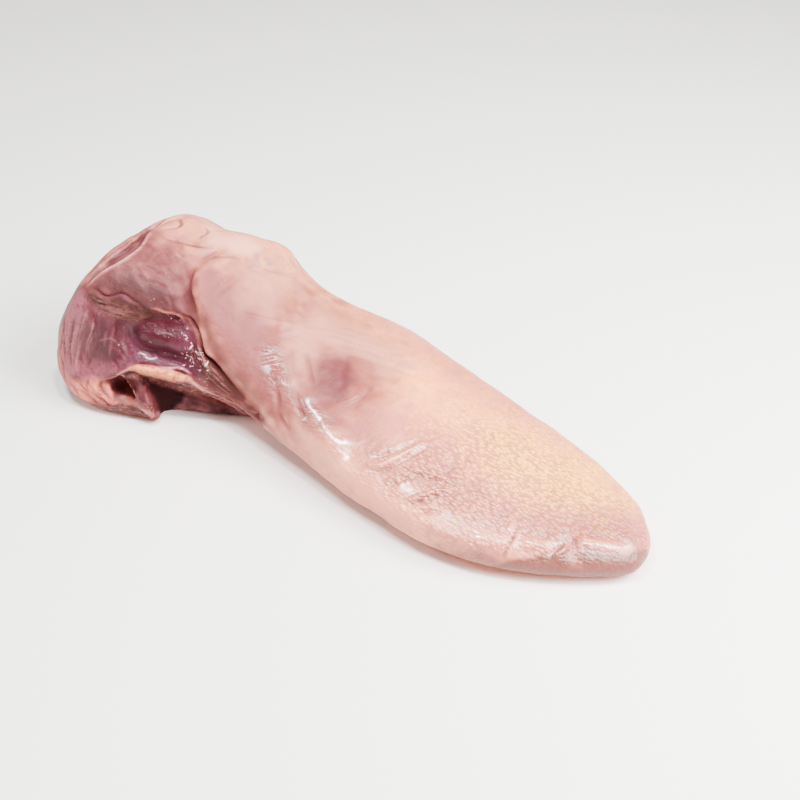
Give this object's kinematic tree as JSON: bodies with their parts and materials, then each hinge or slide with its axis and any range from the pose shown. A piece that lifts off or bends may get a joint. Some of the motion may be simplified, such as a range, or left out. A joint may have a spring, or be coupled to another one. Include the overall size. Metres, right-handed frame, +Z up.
{
  "type": "raw beef tongue",
  "caption": "Whole raw beef tongue with its root, lying on its underside: a tapering blade, a thick cut root, a strip of fat over a recess and a pocket.",
  "frame": {"origin": "middle of the footprint, on the surface that the tongue lies on", "axes": "+X from the root to the tip, -Y the side with the open cut, +Z up"},
  "size_m": [0.346, 0.1338, 0.0889],
  "materials": {
    "flesh": "wet"
  },
  "bodies": {
    "root": {"tongue": "flesh"}
  },
  "joints": []
}
